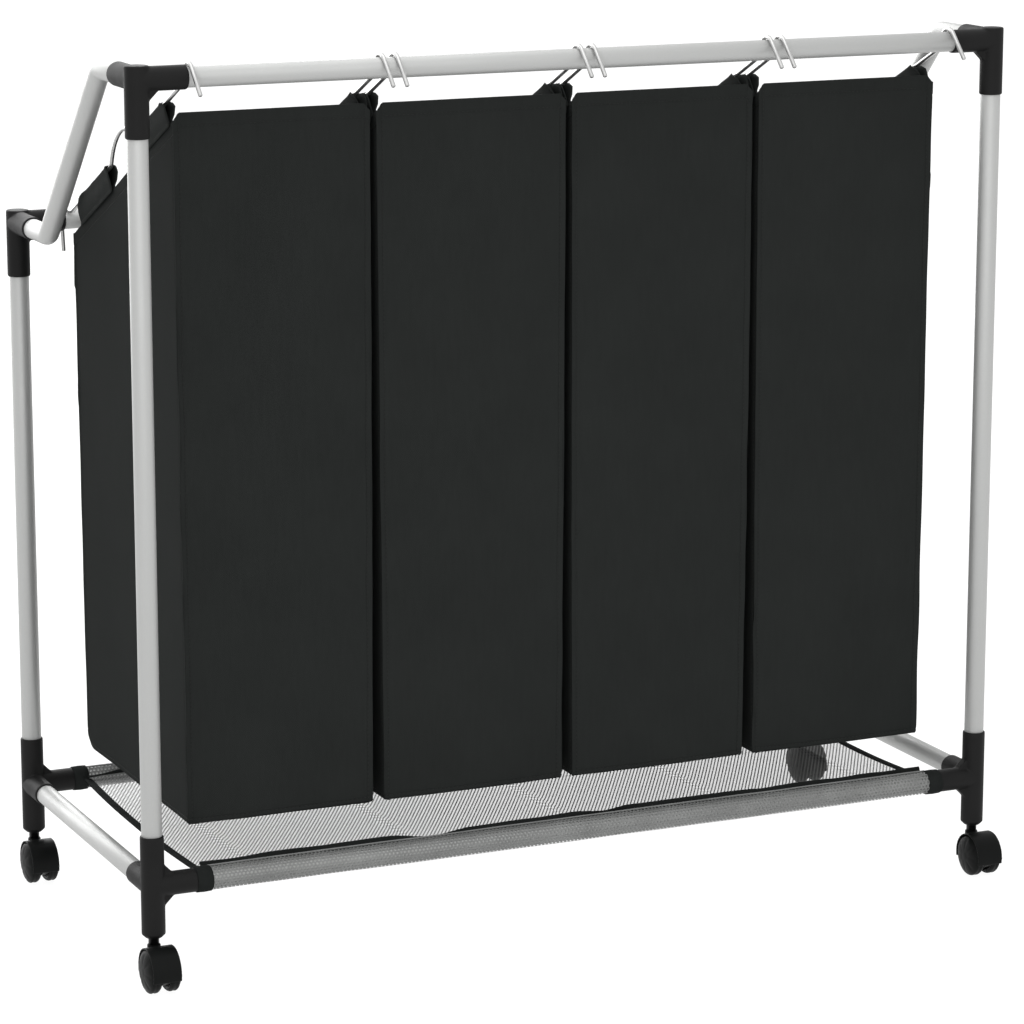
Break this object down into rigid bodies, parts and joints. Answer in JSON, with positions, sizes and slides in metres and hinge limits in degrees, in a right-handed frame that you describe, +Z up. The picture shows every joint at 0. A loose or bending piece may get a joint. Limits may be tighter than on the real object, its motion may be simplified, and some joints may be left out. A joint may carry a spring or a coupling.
{
  "type": "laundry sorter on wheels",
  "caption": "Rolling laundry sorter: a tube frame, taller on one side, carries lift-out fabric bags on wire hangers above a stretched mesh tray, on twin-wheel swivel casters.",
  "frame": {"origin": "centre of the outline on the floor, so the posts stand a little behind it because the casters trail forward", "axes": "+X along the long side to the right, +Y from the tall side to the low side, +Z up"},
  "size_m": [0.8944, 0.412, 0.841],
  "materials": {
    "tube": "silver-grey powder coat, satin",
    "wire": "bright zinc-plated wire",
    "fitting": "black moulded plastic, fine spark texture",
    "caster_plastic": "black nylon, semi-matte",
    "caster_steel": "black oxide steel",
    "bag_fabric": "black plain-weave polyester",
    "net": "black knitted polyester net with woven binding"
  },
  "bodies": {
    "frame": {"mesh_tray": "net", "side_tube_left": "tube", "side_tube_right": "tube", "base_rail_left": "tube", "base_rail_right": "tube", "top_rail_tall": "tube", "base_rail_tall": "tube", "post_tall_left": "tube", "top_connector_tall_left": "fitting", "base_connector_tall_left": "fitting", "post_tall_right": "tube", "top_connector_tall_right": "fitting", "base_connector_tall_right": "fitting", "top_rail_low": "tube", "base_rail_low": "tube", "post_low_left": "tube", "top_connector_low_left": "fitting", "base_connector_low_left": "fitting", "post_low_right": "tube", "top_connector_low_right": "fitting", "base_connector_low_right": "fitting"},
    "swivel_tall_left": {"caster_tall_left_hood": "caster_plastic", "caster_tall_left_stem": "caster_steel", "caster_tall_left_axle": "caster_steel"},
    "roll_tall_left_a": {"caster_tall_left_wheel_a": "caster_plastic"},
    "roll_tall_left_b": {"caster_tall_left_wheel_b": "caster_plastic"},
    "swivel_tall_right": {"caster_tall_right_hood": "caster_plastic", "caster_tall_right_stem": "caster_steel", "caster_tall_right_axle": "caster_steel"},
    "roll_tall_right_a": {"caster_tall_right_wheel_a": "caster_plastic"},
    "roll_tall_right_b": {"caster_tall_right_wheel_b": "caster_plastic"},
    "swivel_low_left": {"caster_low_left_hood": "caster_plastic", "caster_low_left_stem": "caster_steel", "caster_low_left_axle": "caster_steel"},
    "roll_low_left_a": {"caster_low_left_wheel_a": "caster_plastic"},
    "roll_low_left_b": {"caster_low_left_wheel_b": "caster_plastic"},
    "swivel_low_right": {"caster_low_right_hood": "caster_plastic", "caster_low_right_stem": "caster_steel", "caster_low_right_axle": "caster_steel"},
    "roll_low_right_a": {"caster_low_right_wheel_a": "caster_plastic"},
    "roll_low_right_b": {"caster_low_right_wheel_b": "caster_plastic"},
    "lift_1": {"bag_1": "bag_fabric", "hanger_1_left": "wire", "hanger_1_right": "wire"},
    "lift_2": {"bag_2": "bag_fabric", "hanger_2_left": "wire", "hanger_2_right": "wire"},
    "lift_3": {"bag_3": "bag_fabric", "hanger_3_left": "wire", "hanger_3_right": "wire"},
    "lift_4": {"bag_4": "bag_fabric", "hanger_4_left": "wire", "hanger_4_right": "wire"}
  },
  "joints": [
    {"name": "caster_tall_left_swivel", "type": "hinge", "parent": "frame", "child": "swivel_tall_left", "pos_m": [-0.43, -0.16805, 0.045], "axis": [0, 0, 1], "continuous": true},
    {"name": "caster_tall_left_wheel_a_spin", "type": "hinge", "parent": "swivel_tall_left", "child": "roll_tall_left_a", "pos_m": [-0.44, -0.18405, 0.02], "axis": [1, 0, 0], "continuous": true},
    {"name": "caster_tall_left_wheel_b_spin", "type": "hinge", "parent": "swivel_tall_left", "child": "roll_tall_left_b", "pos_m": [-0.42, -0.18405, 0.02], "axis": [1, 0, 0], "continuous": true},
    {"name": "caster_tall_right_swivel", "type": "hinge", "parent": "frame", "child": "swivel_tall_right", "pos_m": [0.43, -0.16805, 0.045], "axis": [0, 0, 1], "continuous": true},
    {"name": "caster_tall_right_wheel_a_spin", "type": "hinge", "parent": "swivel_tall_right", "child": "roll_tall_right_a", "pos_m": [0.42, -0.18405, 0.02], "axis": [1, 0, 0], "continuous": true},
    {"name": "caster_tall_right_wheel_b_spin", "type": "hinge", "parent": "swivel_tall_right", "child": "roll_tall_right_b", "pos_m": [0.44, -0.18405, 0.02], "axis": [1, 0, 0], "continuous": true},
    {"name": "caster_low_left_swivel", "type": "hinge", "parent": "frame", "child": "swivel_low_left", "pos_m": [-0.43, 0.19195, 0.045], "axis": [0, 0, 1], "continuous": true},
    {"name": "caster_low_left_wheel_a_spin", "type": "hinge", "parent": "swivel_low_left", "child": "roll_low_left_a", "pos_m": [-0.44, 0.17595, 0.02], "axis": [1, 0, 0], "continuous": true},
    {"name": "caster_low_left_wheel_b_spin", "type": "hinge", "parent": "swivel_low_left", "child": "roll_low_left_b", "pos_m": [-0.42, 0.17595, 0.02], "axis": [1, 0, 0], "continuous": true},
    {"name": "caster_low_right_swivel", "type": "hinge", "parent": "frame", "child": "swivel_low_right", "pos_m": [0.43, 0.19195, 0.045], "axis": [0, 0, 1], "continuous": true},
    {"name": "caster_low_right_wheel_a_spin", "type": "hinge", "parent": "swivel_low_right", "child": "roll_low_right_a", "pos_m": [0.42, 0.17595, 0.02], "axis": [1, 0, 0], "continuous": true},
    {"name": "caster_low_right_wheel_b_spin", "type": "hinge", "parent": "swivel_low_right", "child": "roll_low_right_b", "pos_m": [0.44, 0.17595, 0.02], "axis": [1, 0, 0], "continuous": true},
    {"name": "bag_1_lift", "type": "slide", "parent": "frame", "child": "lift_1", "axis": [0, 0, 1], "range_m": [0, 0.7]},
    {"name": "bag_2_lift", "type": "slide", "parent": "frame", "child": "lift_2", "axis": [0, 0, 1], "range_m": [0, 0.7]},
    {"name": "bag_3_lift", "type": "slide", "parent": "frame", "child": "lift_3", "axis": [0, 0, 1], "range_m": [0, 0.7]},
    {"name": "bag_4_lift", "type": "slide", "parent": "frame", "child": "lift_4", "axis": [0, 0, 1], "range_m": [0, 0.7]}
  ]
}
